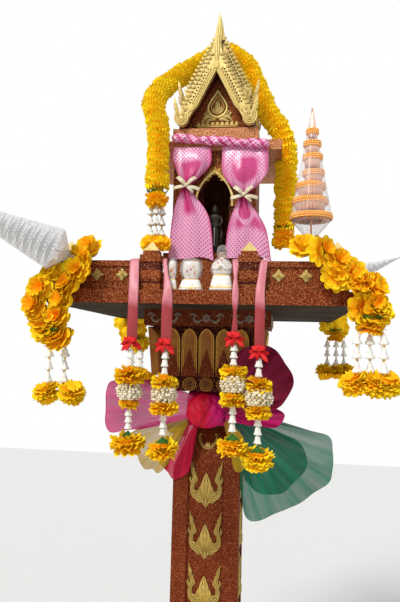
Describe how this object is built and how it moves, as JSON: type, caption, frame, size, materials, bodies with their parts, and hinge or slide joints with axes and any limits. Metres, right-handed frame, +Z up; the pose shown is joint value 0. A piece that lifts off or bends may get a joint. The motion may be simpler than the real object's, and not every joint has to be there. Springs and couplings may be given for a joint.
{
  "type": "spirit house on a post",
  "caption": "Painted cement Thai shrine on a square post, with a gilded gabled roof, parapet, curtains, garlands, tiered umbrellas and sheer sashes.",
  "frame": {"origin": "on the ground under the middle of the post's plinth", "axes": "+Z up, -Y out of the shrine's front, +X to the right seen from the front"},
  "size_m": [1.1055, 0.9353, 2.32],
  "materials": {
    "terracotta": "glittered painted cement",
    "dark_red": "painted cement",
    "bare_cement": "weathered cement",
    "gold_paint": "gold-painted cement",
    "old_gold": "darker gold-painted cement",
    "bronze": "dull cast figure",
    "brocade": "satin brocade",
    "cream_satin": "satin ribbon",
    "coral_ribbon": "satin ribbon",
    "marigold": "cloth flowers",
    "string_flowers": "cloth and paper flowers",
    "clear_film": "clear plastic film over foil tiers",
    "white_figure": "glazed",
    "magenta_tulle": "sheer tulle",
    "green_tulle": "sheer tulle"
  },
  "bodies": {
    "root": {"base_plinth": "terracotta", "post_foot": "terracotta", "post": "terracotta", "post_lotus_motifs": "gold_paint", "neck_crescents": "gold_paint", "capital_core": "dark_red", "capital_petals": "old_gold", "capital_spears": "terracotta", "capital_rosettes": "terracotta", "capital_band": "terracotta", "platform_slab": "terracotta", "parapet_front": "terracotta", "parapet_sides": "terracotta", "parapet_back": "terracotta", "parapet_posts": "terracotta", "post_caps": "gold_paint", "parapet_studs": "gold_paint", "shrine_base": "terracotta", "front_columns": "terracotta", "arch_head": "terracotta", "arch_rim": "gold_paint", "inner_wall": "dark_red", "side_walls": "terracotta", "back_wall": "terracotta", "eaves_ledge": "terracotta", "gable_base": "terracotta", "lower_roof": "dark_red", "upper_roof": "dark_red", "gables": "dark_red", "bargeboards_front": "gold_paint", "bargeboards_back": "gold_paint", "tympanum_ornament": "gold_paint", "guardian_figure": "bronze", "curtains": "brocade", "curtain_valance": "brocade", "curtain_bows": "cream_satin", "front_ribbons": "coral_ribbon", "front_garlands": "string_flowers", "tiered_umbrellas": "clear_film", "corner_garlands_front": "marigold", "corner_garlands_back": "marigold", "roof_garland": "marigold", "figurines": "white_figure", "neck_sash": "magenta_tulle", "sash_loops": "magenta_tulle", "sash_tails": "green_tulle"}
  },
  "joints": []
}
